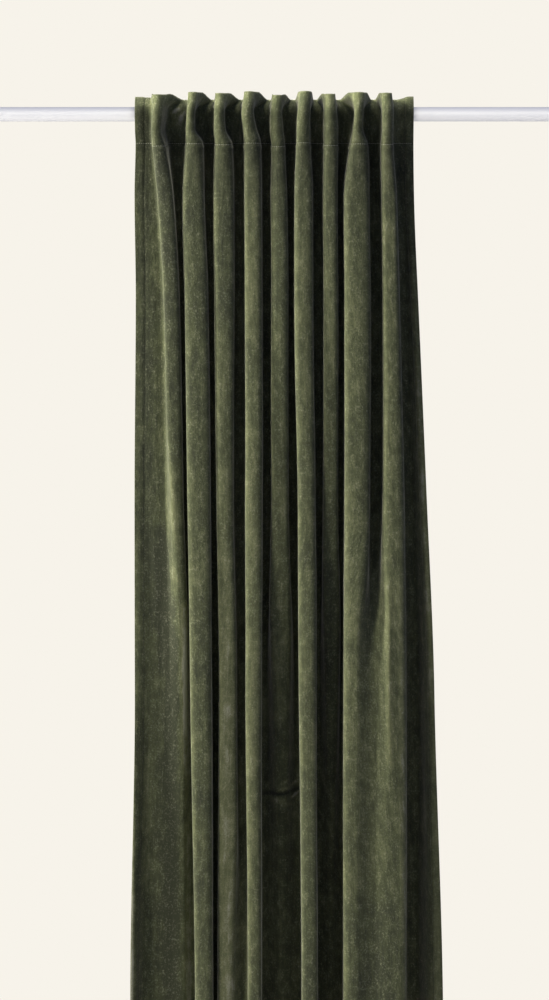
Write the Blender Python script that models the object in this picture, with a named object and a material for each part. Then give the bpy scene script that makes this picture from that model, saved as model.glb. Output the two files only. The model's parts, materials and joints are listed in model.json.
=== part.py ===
# A velvet curtain panel, hung in nine deep folds from a plain white rod.
# The panel is one cut of cloth. A heading tape is sewn to its back, and ten narrow tabs on the tape
# hold the rod, so that from the front the cloth hides it. Sizes in the tables are in millimetres.
# The rod's middle is the origin, +X runs along the rod and the folds come forward along -Y.

import math

import bmesh
import bpy
import numpy as np

MM = 0.001

# Driving sizes, in millimetres
ROD_DIAMETER = 28.0
ROD_LENGTH = 1200.0
ROD_EDGE = 1.5
ROD_SIDES = 32
CLOTH_WIDTH = 1380.0
CLOTH_LENGTH = 2500.0
CLOTH_THICKNESS = 2.0
HEADING_HEIGHT = 100.0
BOTTOM_HEM = 80.0
HEM_THICKNESS = 3.5
HEM_STEP = 4.0
TAPE_THICKNESS = 1.0
TAPE_MARGIN = 6.0
TAPE_GAP = 0.3
TAB_WIDTH = 22.0
TAB_THICKNESS = 1.0
ROD_CLEARANCE = 2.0

# In a valley the heading rises up the rod's front, bends back over it and stands off at the first angle.
# Below the rod the tabs pull it in at the second angle, down to the seam. From there it hangs straight.
ROD_RADIUS = ROD_DIAMETER / 2
VALLEY_RADIUS = ROD_RADIUS + ROD_CLEARANCE + TAPE_THICKNESS + TAPE_GAP + CLOTH_THICKNESS / 2
BEND_BACK = math.radians(54)
TUCK_UNDER = math.radians(10)
SEAM_BELOW_ROD = 59.0
ROD_LEVEL = HEADING_HEIGHT - SEAM_BELOW_ROD
# Cloth this far in front of the valleys stands upright and ignores the rod.
UPRIGHT_FROM = 30.0

# How far down the cloth each column of the tables is measured: the heading's top edge, the rod,
# a narrow place below it, the heading's lower seam, five levels of the drop, and the hem
LEVELS = (0, 42, 72, 100, 200, 400, 780, 1165, 1750, 2500)

# Folds from left to right. The first and last are the panel's own side edges.
# centre: where the fold's front is. width: how wide it looks from the front.
FOLD_CENTRE = {
    "left_edge": (-264, -264, -264, -263, -265, -264, -266, -266, -276, -276),
    "fold_1": (-225, -227, -229, -224, -212, -200, -192, -181, -178, -177),
    "fold_2": (-158, -162, -163, -156, -158, -152, -146, -142, -136, -134),
    "fold_3": (-105, -107, -106, -99, -98, -97, -96, -90, -89, -88),
    "fold_4": (-49, -52, -48, -43, -42, -41, -40, -40, -38, -37),
    "fold_5": (5, 3, 4, 7, 8, 10, 10, 13, 14, 14),
    "fold_6": (60, 57, 56, 56, 57, 57, 62, 64, 68, 70),
    "fold_7": (107, 108, 109, 109, 108, 109, 109, 111, 110, 111),
    "fold_8": (163, 163, 161, 163, 159, 161, 160, 157, 156, 157),
    "fold_9": (217, 219, 219, 218, 222, 226, 230, 224, 222, 224),
    "right_edge": (263, 263, 263, 263, 264, 274, 289, 305, 311, 321),
}
FOLD_WIDTH = {
    "left_edge": (18, 18, 18, 18, 18, 15, 15, 12, 8, 8),
    "fold_1": (23, 21, 19, 26, 32, 31, 30, 34, 36, 36),
    "fold_2": (19, 16, 18, 34, 42, 46, 45, 42, 34, 36),
    "fold_3": (20, 20, 23, 34, 40, 39, 34, 35, 42, 42),
    "fold_4": (20, 24, 27, 33, 35, 35, 34, 31, 27, 30),
    "fold_5": (20, 23, 26, 26, 32, 33, 34, 56, 64, 62),
    "fold_6": (22, 25, 27, 28, 37, 37, 35, 34, 32, 34),
    "fold_7": (21, 26, 28, 28, 29, 29, 29, 40, 33, 36),
    "fold_8": (24, 18, 20, 35, 50, 52, 50, 49, 48, 50),
    "fold_9": (21, 23, 22, 24, 30, 34, 42, 60, 64, 60),
    "right_edge": (18, 18, 18, 18, 18, 13, 15, 12, 32, 34),
}
# reach: how far the fold comes forward, as a share of the level's full depth.
FOLD_REACH = {
    "left_edge": (0.24, 0.19, 0.12, 0.09, 0.11, 0.15, 0.24, 0.36, 0.50, 0.48),
    "fold_1": (1.00, 0.98, 0.98, 1.00, 1.00, 0.94, 0.62, 0.33, 0.25, 0.26),
    "fold_2": (1.02, 0.96, 0.96, 1.00, 1.02, 1.02, 1.02, 1.00, 0.96, 0.94),
    "fold_3": (0.98, 1.00, 1.00, 1.00, 1.00, 0.98, 0.94, 0.86, 0.84, 0.84),
    "fold_4": (1.04, 1.04, 1.02, 1.02, 1.04, 1.04, 1.02, 1.00, 1.00, 0.98),
    "fold_5": (0.96, 0.92, 0.92, 0.92, 0.94, 0.94, 0.78, 0.36, 0.14, 0.16),
    "fold_6": (1.06, 1.04, 1.04, 1.04, 1.04, 1.04, 1.04, 1.04, 1.04, 1.00),
    "fold_7": (0.98, 1.00, 1.00, 1.00, 0.98, 0.94, 0.68, 0.26, 0.10, 0.12),
    "fold_8": (1.04, 1.00, 0.98, 1.02, 1.04, 1.04, 1.04, 1.02, 1.00, 1.00),
    "fold_9": (1.00, 1.02, 1.00, 0.98, 0.98, 0.98, 0.98, 0.98, 0.97, 0.96),
    "right_edge": (0.26, 0.17, 0.12, 0.10, 0.16, 0.30, 0.38, 0.42, 0.46, 0.46),
}
# drop: how far each fold's heading hangs below the valleys beside it.
FOLD_DROP = {
    "left_edge": 2.5, "fold_1": 10.5, "fold_2": 6.0, "fold_3": 8.0, "fold_4": 5.0, "fold_5": 11.5,
    "fold_6": 4.5, "fold_7": 9.5, "fold_8": 6.5, "fold_9": 7.5, "right_edge": 2.5,
}
# reach: how far a shallow valley between two folds comes forward. The others stay at the back.
VALLEY_REACH = {
    "valley_0": (0.20, 0.15, 0.09, 0.06, 0.07, 0.12, 0.21, 0.29, 0.22, 0.22),
    "valley_1": (0, 0, 0, 0, 0, 0, 0.04, 0.12, 0.14, 0.12),
    "valley_3": (0, 0, 0, 0, 0, 0, 0.06, 0.28, 0.60, 0.56),
    "valley_8": (0, 0, 0, 0, 0, 0, 0.10, 0.90, 0.93, 0.92),
}
DEEP_VALLEY = (0,) * len(LEVELS)
# lean: how far each valley stands to the right of the gap's middle, at the top edge and once it has settled.
VALLEY_LEAN = {
    "valley_0": (0, 0), "valley_1": (17, 6), "valley_2": (12, 0), "valley_3": (13, 0), "valley_4": (12, 0),
    "valley_5": (4, 0), "valley_6": (-4, 0), "valley_7": (-10, 0), "valley_8": (2, 0), "valley_9": (-7, 0),
}
LEAN_SETTLES = 30.0
LEAN_ENDS = 200.0
# How wide a valley's floor is, as a share of the gap in front of it, at each level
VALLEY_FLOOR = (0.35, 1.05, 1.05, 1.05, 1.08, 1.15, 1.15, 1.10, 1.00, 1.00)
LEAST_VALLEY = 4.5
# Most that a valley reaches in behind the folds beside it
OVERHANG = 2.0
# The left side lies flat up to a tight turn into the first fold. Each side edge stands a little forward and
# slopes back over this width.
FLAP_TURN = 8.0
EDGE_SLOPE = {-1: 24.0, 1: 42.0}
FOLD_ROUNDNESS = 0.85
# Most that a fold's front is rounded back, and the most of a fold's depth that its rounded front, and the
# rounded floor beside it, may take
MOST_RISE = 13.0
FRONT_SHARE = 0.50
FLOOR_SHARE = 0.35
# A side that falls less steeply than this is one soft slope.
SOFT_UNDER = 0.5
# How much of the heading's bend over the rod the folds' fronts follow
FRONT_FOLLOWS = 0.6

# Faces across each half of a fold's front and of a valley's floor
FRONT_FACES = 3
FLOOR_FACES = 2

# Rows of faces down the cloth. The tape uses those of its own height.
TAPE_ROWS = (TAPE_MARGIN, 15, 25, 33, 41, 70, HEADING_HEIGHT - 4)
CLOTH_ROWS = (0, *TAPE_ROWS, 110, 142, 190, 270, 400, 570, 780, 1000, 1220, 1450, 1750, 2110,
              CLOTH_LENGTH - BOTTOM_HEM - HEM_STEP, CLOTH_LENGTH - BOTTOM_HEM, CLOTH_LENGTH)

# One tab, seen from the side, as points behind the rod from its foot on the tape to its head
TAB_FOOT = 88.0
TAB_FOOT_LENGTH = 14.0
TAB_HEAD = 9.0
TAB_STEPS = 18


def clear_scene():
    for found in list(bpy.data.objects):
        bpy.data.objects.remove(found)


def material(name, colour, roughness, metallic=0.0):
    made = bpy.data.materials.new(name)
    made.use_nodes = True
    shader = made.node_tree.nodes["Principled BSDF"]
    shader.inputs["Base Color"].default_value = (*colour, 1.0)
    shader.inputs["Roughness"].default_value = roughness
    shader.inputs["Metallic"].default_value = metallic
    return made


def between_levels(values, drop):
    """Reads a table row at any drop down the cloth, on a smooth curve that never overshoots its values."""
    levels = np.array(LEVELS, float)
    values = np.array(values, float)
    steps = np.diff(levels)
    slopes = np.diff(values) / steps
    bends = np.zeros(len(values))
    for i in range(1, len(values) - 1):
        if slopes[i - 1] * slopes[i] > 0:
            bends[i] = 2 * slopes[i - 1] * slopes[i] / (slopes[i - 1] + slopes[i])
    i = int(np.clip(np.searchsorted(levels, drop, side="right") - 1, 0, len(steps) - 1))
    t = (drop - levels[i]) / steps[i]
    start = (1 + 2 * t) * (1 - t) ** 2 * values[i] + t * (1 - t) ** 2 * steps[i] * bends[i]
    end = t * t * (3 - 2 * t) * values[i + 1] + t * t * (t - 1) * steps[i] * bends[i + 1]
    return start + end


def smooth_share(value):
    t = np.clip(value, 0.0, 1.0)
    return t * t * (3 - 2 * t)


def folds_at(drop):
    """Centre, half width and reach of each fold, and of each valley between two of them, at one level."""
    centre = np.array([between_levels(FOLD_CENTRE[name], drop) for name in FOLD_CENTRE])
    width = np.array([between_levels(FOLD_WIDTH[name], drop) for name in FOLD_CENTRE])
    reach = np.array([between_levels(FOLD_REACH[name], drop) for name in FOLD_CENTRE])
    half = (width - CLOTH_THICKNESS) / 2
    gap_left = (centre + half)[:-1]
    gap_right = (centre - half)[1:]
    fade = smooth_share(1 - drop / LEAN_ENDS)
    lean = np.array([
        top + (low - top) * smooth_share(drop / LEAN_SETTLES) for top, low in VALLEY_LEAN.values()
    ])
    gap_half = (gap_right - gap_left) / 2
    widest = gap_half - abs(lean * fade) + OVERHANG
    valley_half = np.minimum(between_levels(VALLEY_FLOOR, drop) * gap_half, widest)
    valley_half = np.maximum(valley_half, LEAST_VALLEY)
    valley_centre = (gap_left + gap_right) / 2 + lean * fade
    valley_half[0] = min(valley_half[0], FLAP_TURN)
    valley_centre[0] = gap_right[0] - FLAP_TURN
    valley_reach = np.array([
        between_levels(VALLEY_REACH.get(name, DEEP_VALLEY), drop) for name in VALLEY_LEAN
    ])
    return (centre, half, reach), (valley_centre, valley_half, valley_reach)


def turn_line(x, y, half, rise, faces, side, most):
    """A turn that starts level at x and y. A full quarter turn would be half wide and rise high."""
    turns = np.linspace(0, most, faces + 1)
    return [(x + side * half * math.sin(turn), y + rise * (1 - math.cos(turn))) for turn in turns]


def fold_side(crest, floor, side):
    """One half of a fold, from the middle of its front to the middle of the valley floor on that side.

    The crest and the floor are given as x, y, half width and rise. Where the side leans out, both turns
    stop at its slope. A shallow side is one soft slope instead.
    """
    crest_end = floor_end = math.pi / 2
    for _ in range(3):
        start = turn_line(*crest, 1, side, crest_end)[-1]
        end = turn_line(*floor, 1, -side, floor_end)[-1]
        out = max(side * (end[0] - start[0]), 0.0)
        deep = max(end[1] - start[1], 1e-6)
        crest_end = math.atan2(deep * crest[2], out * crest[3])
        floor_end = math.atan2(deep * floor[2], out * -floor[3])
    front = turn_line(*crest, FRONT_FACES, side, crest_end)
    line = np.array(front + turn_line(*floor, FLOOR_FACES, -side, floor_end)[::-1])
    run = side * (floor[0] - crest[0])
    deep = floor[1] - crest[1]
    steps = np.linspace(0, 1, len(line))
    soft = np.stack([crest[0] + side * run * steps, crest[1] + deep * smooth_share(steps)], axis=1)
    firm = smooth_share((deep / run - SOFT_UNDER) / 0.8)
    return [tuple(point) for point in firm * line + (1 - firm) * soft]


def side_edge(x, y, half, valley_x, valley_y, side):
    """A flat strip at the panel's side, and the soft slope from it down to the nearest valley."""
    strip = [(x + side * half * share, y) for share in np.linspace(1, 0, FRONT_FACES + 1)]
    steps = np.linspace(0, 1, FRONT_FACES + FLOOR_FACES + 2)[1:]
    run = min(EDGE_SLOPE[side], abs(valley_x - x)) / abs(valley_x - x)
    slope = [(x + t * (valley_x - x), y + smooth_share(t / run) * (valley_y - y)) for t in steps]
    line = strip + slope
    return line if side < 0 else line[::-1]


def section(drop, depth):
    """The cloth's line seen from above at one level, as x, y and how far each point's fold hangs down."""
    (centre, half, reach), (floor_centre, floor_half, floor_reach) = folds_at(drop)
    front = -depth * reach
    back = -depth * floor_reach
    last = len(centre) - 1
    line = side_edge(centre[0], front[0], half[0], floor_centre[0], back[0], -1)
    fold = [0] * len(line)
    for i in range(1, last):
        left_deep = back[i - 1] - front[i]
        right_deep = back[i] - front[i]
        sides = []
        for side, deep, f in ((-1, left_deep, i - 1), (1, right_deep, i)):
            rise = min(FOLD_ROUNDNESS * half[i], FRONT_SHARE * deep, MOST_RISE)
            fall = min(FOLD_ROUNDNESS * floor_half[f], FLOOR_SHARE * deep)
            sides.append(fold_side((centre[i], front[i], half[i], rise),
                                   (floor_centre[f], back[f], floor_half[f], -fall), side))
        piece = sides[0][::-1][1:] + sides[1][1:]
        line += piece
        fold += [i] * len(piece)
    piece = side_edge(centre[last], front[last], half[last], floor_centre[-1], back[-1], 1)[1:]
    line += piece
    fold += [last] * len(piece)
    x, y = np.array(line).T
    sag = np.array(list(FOLD_DROP.values()))[fold]
    return x, y, sag * smooth_share(-y / depth)


def around_the_rod(drop):
    """How far the rod and its tabs move a valley's cloth back and up, from where it would hang straight."""
    above = ROD_LEVEL - drop
    angle = BEND_BACK if above > 0 else TUCK_UNDER
    away = min(abs(above), SEAM_BELOW_ROD)
    bend = min(away / VALLEY_RADIUS, angle)
    rest = max(away - VALLEY_RADIUS * angle, 0.0)
    back = VALLEY_RADIUS * (1 - math.cos(bend)) + rest * math.sin(bend)
    lost = away - VALLEY_RADIUS * math.sin(bend) - rest * math.cos(bend)
    return back, -lost if above > 0 else lost


def hung_row(drop, depth):
    """One row of the cloth's middle surface, in place."""
    x, y, sag = section(drop, depth)
    back, up = around_the_rod(drop)
    bent = 1 - smooth_share(-y / UPRIGHT_FROM)
    return np.stack([x, y - VALLEY_RADIUS + bent * back, ROD_LEVEL - drop - sag + bent * up], axis=1)


def depth_at(drop):
    """The folds' depth at which the row is as long as the cloth is wide, because cloth doesn't stretch."""
    back = around_the_rod(drop)[0]
    over, tucked = (back, 0.0) if drop < ROD_LEVEL else (0.0, back)
    least, most = 20.0, 220.0
    for _ in range(40):
        depth = (least + most) / 2
        x, y, _sag = section(drop, depth)
        y = y + tucked * (1 - smooth_share(-y / UPRIGHT_FROM))
        length = np.hypot(np.diff(x), np.diff(y)).sum()
        least, most = (depth, most) if length < CLOTH_WIDTH else (least, depth)
    return depth - FRONT_FOLLOWS * over


def surface(rows):
    """Points of the cloth's middle surface and the directions that face out of its front, for these drops."""
    points = np.array([hung_row(drop, depth_at(drop)) for drop in rows])
    step = 1.0
    below = np.array([hung_row(drop + step, depth_at(drop + step)) for drop in rows])
    across = np.gradient(points, axis=1)
    out = np.cross(below - points, across)
    return points, out / np.linalg.norm(out, axis=2, keepdims=True)


def sheet(name, points, out, front, back, finish):
    """A closed sheet between two distances from the middle surface, in front of it and behind it."""
    rows, columns = points.shape[:2]
    mesh = bmesh.new()
    sides = []
    for distance in (front, back):
        placed = (points + out * np.broadcast_to(distance, (rows, columns))[:, :, None]) * MM
        sides.append([[mesh.verts.new(placed[r, c]) for c in range(columns)] for r in range(rows)])
    face, rear = sides
    for r in range(rows - 1):
        for c in range(columns - 1):
            mesh.faces.new((face[r][c], face[r + 1][c], face[r + 1][c + 1], face[r][c + 1]))
            mesh.faces.new((rear[r][c], rear[r][c + 1], rear[r + 1][c + 1], rear[r + 1][c]))
    for r in range(rows - 1):
        mesh.faces.new((rear[r][0], rear[r + 1][0], face[r + 1][0], face[r][0]))
        mesh.faces.new((face[r][-1], face[r + 1][-1], rear[r + 1][-1], rear[r][-1]))
    for c in range(columns - 1):
        mesh.faces.new((rear[0][c], face[0][c], face[0][c + 1], rear[0][c + 1]))
        mesh.faces.new((face[-1][c], rear[-1][c], rear[-1][c + 1], face[-1][c + 1]))
    bmesh.ops.triangulate(mesh, faces=mesh.faces, quad_method="FIXED")
    bmesh.ops.recalc_face_normals(mesh, faces=mesh.faces)
    return placed_object(name, mesh, finish)


def placed_object(name, mesh, finish, smooth=True):
    data = bpy.data.meshes.new(name)
    mesh.to_mesh(data)
    mesh.free()
    data.materials.append(finish)
    if smooth:
        data.shade_smooth()
        data.set_sharp_from_angle(angle=math.radians(50))
    made = bpy.data.objects.new(name, data)
    bpy.context.scene.collection.objects.link(made)
    return made


def make_rod(finish):
    mesh = bmesh.new()
    bmesh.ops.create_cone(mesh, cap_ends=True, segments=ROD_SIDES, radius1=ROD_RADIUS * MM,
                          radius2=ROD_RADIUS * MM, depth=ROD_LENGTH * MM)
    rims = [edge for edge in mesh.edges if len({round(v.co.z, 5) for v in edge.verts}) == 1]
    bmesh.ops.bevel(mesh, geom=rims, offset=ROD_EDGE * MM, segments=2, profile=0.5, affect="EDGES",
                    material=-1)
    made = placed_object("rod", mesh, finish)
    made.rotation_euler = (0, math.pi / 2, 0)
    return made


def make_panel(finish):
    rows = np.array(CLOTH_ROWS, float)
    points, out = surface(rows)
    hemmed = rows >= CLOTH_LENGTH - BOTTOM_HEM
    rear = np.where(hemmed, CLOTH_THICKNESS / 2 - HEM_THICKNESS, -CLOTH_THICKNESS / 2)[:, None]
    return sheet("curtain_panel", points, out, CLOTH_THICKNESS / 2, rear, finish)


def make_tape(finish):
    points, out = surface(np.array(TAPE_ROWS, float))
    front = -CLOTH_THICKNESS / 2 - TAPE_GAP
    return sheet("heading_tape", points, out, front, front - TAPE_THICKNESS, finish)


def behind_valley(drop, away):
    """The point this far behind the middle of a valley's cloth, in side view."""
    places = []
    for level in (drop - 1, drop, drop + 1):
        back, up = around_the_rod(level)
        places.append(np.array([back - VALLEY_RADIUS, ROD_LEVEL - level + up]))
    rise = (places[0] - places[2]) / np.linalg.norm(places[0] - places[2])
    return places[1] + away * np.array([rise[1], -rise[0]])


def tab_line():
    """The middle line of a tab in side view, from its foot on the tape, round behind the rod, to its head."""
    away = CLOTH_THICKNESS / 2 + 2 * TAPE_GAP + TAPE_THICKNESS + TAB_THICKNESS / 2
    around = ROD_RADIUS + ROD_CLEARANCE
    guide = [behind_valley(TAB_FOOT, away), behind_valley(TAB_FOOT - TAB_FOOT_LENGTH, away)]
    guide += [(around * math.cos(math.radians(a)), around * math.sin(math.radians(a))) for a in (-35, 0, 30)]
    guide += [behind_valley(TAB_HEAD, away)]
    guide = np.array(guide)
    lengths = np.r_[0, np.cumsum(np.linalg.norm(np.diff(guide, axis=0), axis=1))]
    slopes = np.gradient(guide, lengths, axis=0)
    slopes[0] = slopes[1] = (guide[1] - guide[0]) / lengths[1]
    line = []
    for along in np.linspace(0, lengths[-1], TAB_STEPS + 1):
        i = min(int(np.searchsorted(lengths, along, side="right")) - 1, len(lengths) - 2)
        span = lengths[i + 1] - lengths[i]
        t = (along - lengths[i]) / span
        line.append((1 + 2 * t) * (1 - t) ** 2 * guide[i] + t * (1 - t) ** 2 * span * slopes[i]
                    + t * t * (3 - 2 * t) * guide[i + 1] + t * t * (t - 1) * span * slopes[i + 1])
    return np.array(line)


def make_tab(number, centre, line, finish):
    """A flat band of cloth bent along the line, its width along the rod."""
    along = np.gradient(line, axis=0)
    along /= np.linalg.norm(along, axis=1, keepdims=True)
    out = np.stack([along[:, 1], -along[:, 0]], axis=1)
    mesh = bmesh.new()
    rings = []
    for point, away in zip(line, out):
        ring = []
        for side, level in ((-0.5, -0.5), (0.5, -0.5), (0.5, 0.5), (-0.5, 0.5)):
            y, z = point + away * level * TAB_THICKNESS
            ring.append(mesh.verts.new((np.array([centre + side * TAB_WIDTH, y, z]) * MM).tolist()))
        rings.append(ring)
    for first, second in zip(rings, rings[1:]):
        for i in range(4):
            j = (i + 1) % 4
            mesh.faces.new((first[i], first[j], second[j], second[i]))
    mesh.faces.new(rings[0][::-1])
    mesh.faces.new(rings[-1])
    bmesh.ops.recalc_face_normals(mesh, faces=mesh.faces)
    return placed_object(f"back_tab_{number:02d}", mesh, finish)


def main():
    clear_scene()
    velvet = material("velvet", (0.055, 0.068, 0.032), 0.9)
    webbing = material("webbing", (0.10, 0.11, 0.075), 0.85)
    white_enamel = material("white_enamel", (0.86, 0.86, 0.84), 0.35)
    make_rod(white_enamel)
    make_panel(velvet)
    make_tape(webbing)
    valleys = folds_at(ROD_LEVEL)[1][0]
    line = tab_line()
    for number, centre in enumerate(valleys, start=1):
        make_tab(number, centre, line, webbing)


main()
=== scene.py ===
import json
import math

import bmesh
import bpy
import numpy as np
from mathutils import Matrix, Vector, noise

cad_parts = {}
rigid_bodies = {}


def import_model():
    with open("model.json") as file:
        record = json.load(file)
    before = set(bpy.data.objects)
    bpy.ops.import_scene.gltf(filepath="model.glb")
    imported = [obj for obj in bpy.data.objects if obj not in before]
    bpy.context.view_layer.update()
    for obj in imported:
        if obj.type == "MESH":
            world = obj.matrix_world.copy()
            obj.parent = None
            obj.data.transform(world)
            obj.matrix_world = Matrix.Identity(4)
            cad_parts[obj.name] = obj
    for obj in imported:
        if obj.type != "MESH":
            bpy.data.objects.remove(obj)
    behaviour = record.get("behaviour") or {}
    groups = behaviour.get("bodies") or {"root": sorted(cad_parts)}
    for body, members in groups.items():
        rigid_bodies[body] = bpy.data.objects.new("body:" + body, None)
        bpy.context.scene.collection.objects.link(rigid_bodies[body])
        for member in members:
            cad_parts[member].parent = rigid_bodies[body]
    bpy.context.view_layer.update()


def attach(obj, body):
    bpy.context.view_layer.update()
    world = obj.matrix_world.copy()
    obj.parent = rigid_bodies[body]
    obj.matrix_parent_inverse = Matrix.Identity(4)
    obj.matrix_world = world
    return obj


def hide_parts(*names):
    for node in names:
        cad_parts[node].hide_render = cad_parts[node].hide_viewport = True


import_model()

scene = bpy.context.scene
mm = 0.001    # every size below is in millimetres
print("frame loaded")

# The curtain, as it is cut and as it hangs
curtain = {
    "width": 1380.0, "length": 2500.0, "thickness": 2.0, "heading": 100.0, "seamBelowRod": 59.0,
    "sideHem": 18.0, "bottomHem": 80.0, "hemThickness": 3.4,
    "bendBack": math.radians(54),    # how far a valley's heading bends back over the rod
    "tuckUnder": math.radians(10),   # how far the tabs pull it in under the rod, down to the seam
    "frontFollows": 0.6,             # how much of that bend the folds' fronts follow
    "uprightFrom": 30.0,             # cloth this far in front of the valleys ignores the rod
    "roundness": 0.85, "mostRise": 13.0,     # how far a fold's front is rounded back
    "frontPower": 0.54,              # a power of 1 makes that front round, a lower one flatter
    "frontShare": 0.5, "floorShare": 0.35,    # most of the depth that a front and a floor may take
    "leastValley": 4.5,              # half of the narrowest valley's floor
    "overhang": 2.0,                 # most that a valley reaches in behind the folds beside it
    "softUnder": 0.5,                # a side that falls less steeply than this is one soft slope
    "firmAfter": 0.8,                # and one steeper by this much has a straight wall
    "leastDepth": 20.0, "mostDepth": 220.0,    # of the folds
    "leanSettles": 30.0, "leanEnds": 200.0,    # how far down the valleys' lean settles and ends
    "flapTurn": 8.0,                 # the left side lies flat up to this tight a turn into the first fold
    "edgeSlope": {-1: 24.0, 1: 42.0},    # each side edge stands forward and slopes back over this width
    "frontFaces": 7, "floorFaces": 4, "wallFaces": 5,
}
rod = {"diameter": 28.0, "length": 1200.0, "edge": 1.5, "edgeFaces": 3, "clearance": 2.0, "sides": 96}
tape = {"thickness": 1.0, "gap": 0.3, "margin": 6.0, "aboveSeam": 4.0, "rowStep": 4.5}
tab = {"width": 22.0, "thickness": 1.0, "foot": 88.0, "footLength": 14.0, "head": 9.0,
       "behindRod": (-35, 0, 30), "steps": 40, "columns": 5}

rodLevel = curtain["heading"] - curtain["seamBelowRod"]
valleyRadius = (rod["diameter"] / 2 + rod["clearance"] + tape["thickness"] + tape["gap"]
                + curtain["thickness"] / 2)

# How far down the cloth each column of the fold tables is measured: the top edge, the rod, a narrow
# place below it, the heading's seam, five levels of the drop, and the hem
levels = (0, 42, 72, 100, 200, 400, 780, 1165, 1750, 2500)
foldCentre = {
    "leftEdge": (-264, -264, -264, -263, -265, -264, -266, -266, -276, -276),
    "fold1": (-225, -227, -229, -224, -212, -200, -192, -181, -178, -177),
    "fold2": (-158, -162, -163, -156, -158, -152, -146, -142, -136, -134),
    "fold3": (-105, -107, -106, -99, -98, -97, -96, -90, -89, -88),
    "fold4": (-49, -52, -48, -43, -42, -41, -40, -40, -38, -37),
    "fold5": (5, 3, 4, 7, 8, 10, 10, 13, 14, 14),
    "fold6": (60, 57, 56, 56, 57, 57, 62, 64, 68, 70),
    "fold7": (107, 108, 109, 109, 108, 109, 109, 111, 110, 111),
    "fold8": (163, 163, 161, 163, 159, 161, 160, 157, 156, 157),
    "fold9": (217, 219, 219, 218, 222, 226, 230, 224, 222, 224),
    "rightEdge": (263, 263, 263, 263, 264, 274, 289, 305, 311, 321),
}
foldWidth = {
    "leftEdge": (18, 18, 18, 18, 18, 15, 15, 12, 8, 8),
    "fold1": (23, 21, 19, 26, 32, 31, 30, 34, 36, 36),
    "fold2": (19, 16, 18, 34, 42, 46, 45, 42, 34, 36),
    "fold3": (20, 20, 23, 34, 40, 39, 34, 35, 42, 42),
    "fold4": (20, 24, 27, 33, 35, 35, 34, 31, 27, 30),
    "fold5": (20, 23, 26, 26, 32, 33, 34, 56, 64, 62),
    "fold6": (22, 25, 27, 28, 37, 37, 35, 34, 32, 34),
    "fold7": (21, 26, 28, 28, 29, 29, 29, 40, 33, 36),
    "fold8": (24, 18, 20, 35, 50, 52, 50, 49, 48, 50),
    "fold9": (21, 23, 22, 24, 30, 34, 42, 60, 64, 60),
    "rightEdge": (18, 18, 18, 18, 18, 13, 15, 12, 32, 34),
}
foldReach = {    # how far a fold comes forward, as a share of the level's full depth
    "leftEdge": (0.24, 0.19, 0.12, 0.09, 0.11, 0.15, 0.24, 0.36, 0.50, 0.48),
    "fold1": (1.00, 0.98, 0.98, 1.00, 1.00, 0.94, 0.62, 0.33, 0.25, 0.26),
    "fold2": (1.02, 0.96, 0.96, 1.00, 1.02, 1.02, 1.02, 1.00, 0.96, 0.94),
    "fold3": (0.98, 1.00, 1.00, 1.00, 1.00, 0.98, 0.94, 0.86, 0.84, 0.84),
    "fold4": (1.04, 1.04, 1.02, 1.02, 1.04, 1.04, 1.02, 1.00, 1.00, 0.98),
    "fold5": (0.96, 0.92, 0.92, 0.92, 0.94, 0.94, 0.78, 0.36, 0.14, 0.16),
    "fold6": (1.06, 1.04, 1.04, 1.04, 1.04, 1.04, 1.04, 1.04, 1.04, 1.00),
    "fold7": (0.98, 1.00, 1.00, 1.00, 0.98, 0.94, 0.68, 0.26, 0.10, 0.12),
    "fold8": (1.04, 1.00, 0.98, 1.02, 1.04, 1.04, 1.04, 1.02, 1.00, 1.00),
    "fold9": (1.00, 1.02, 1.00, 0.98, 0.98, 0.98, 0.98, 0.98, 0.97, 0.96),
    "rightEdge": (0.26, 0.17, 0.12, 0.10, 0.16, 0.30, 0.38, 0.42, 0.46, 0.46),
}
foldDrop = {    # how far a fold's heading hangs below the valleys beside it
    "leftEdge": 2.5, "fold1": 10.5, "fold2": 6.0, "fold3": 8.0, "fold4": 5.0, "fold5": 11.5,
    "fold6": 4.5, "fold7": 9.5, "fold8": 6.5, "fold9": 7.5, "rightEdge": 2.5,
}
valleyReach = {    # the other valleys stay at the back
    "valley0": (0.20, 0.15, 0.09, 0.06, 0.07, 0.12, 0.21, 0.29, 0.22, 0.22),
    "valley1": (0, 0, 0, 0, 0, 0, 0.04, 0.12, 0.14, 0.12),
    "valley3": (0, 0, 0, 0, 0, 0, 0.06, 0.28, 0.60, 0.56),
    "valley8": (0, 0, 0, 0, 0, 0, 0.10, 0.90, 0.93, 0.92),
}
valleyLean = {    # how far a valley stands to the right of its gap's middle, at the top edge and at the seam
    "valley0": (0, 0), "valley1": (17, 6), "valley2": (12, 0), "valley3": (13, 0), "valley4": (12, 0),
    "valley5": (4, 0), "valley6": (-4, 0), "valley7": (-10, 0), "valley8": (2, 0), "valley9": (-7, 0),
}
valleyFloor = (0.35, 1.05, 1.05, 1.05, 1.08, 1.15, 1.15, 1.10, 1.00, 1.00)    # share of the gap in front


def ease(value):
    t = np.clip(value, 0.0, 1.0)
    return t * t * (3 - 2 * t)


def atLevel(row, drop):
    # a smooth curve through a table row that never overshoots its values
    steps = np.diff(levels)
    slopes = np.diff(row) / steps
    bends = np.zeros(len(row))
    for i in range(1, len(row) - 1):
        if slopes[i - 1] * slopes[i] > 0:
            bends[i] = 2 * slopes[i - 1] * slopes[i] / (slopes[i - 1] + slopes[i])
    i = int(np.clip(np.searchsorted(levels, drop, side="right") - 1, 0, len(steps) - 1))
    t = (drop - levels[i]) / steps[i]
    start = (1 + 2 * t) * (1 - t) ** 2 * row[i] + t * (1 - t) ** 2 * steps[i] * bends[i]
    end = t * t * (3 - 2 * t) * row[i + 1] + t * t * (t - 1) * steps[i] * bends[i + 1]
    return start + end


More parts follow.
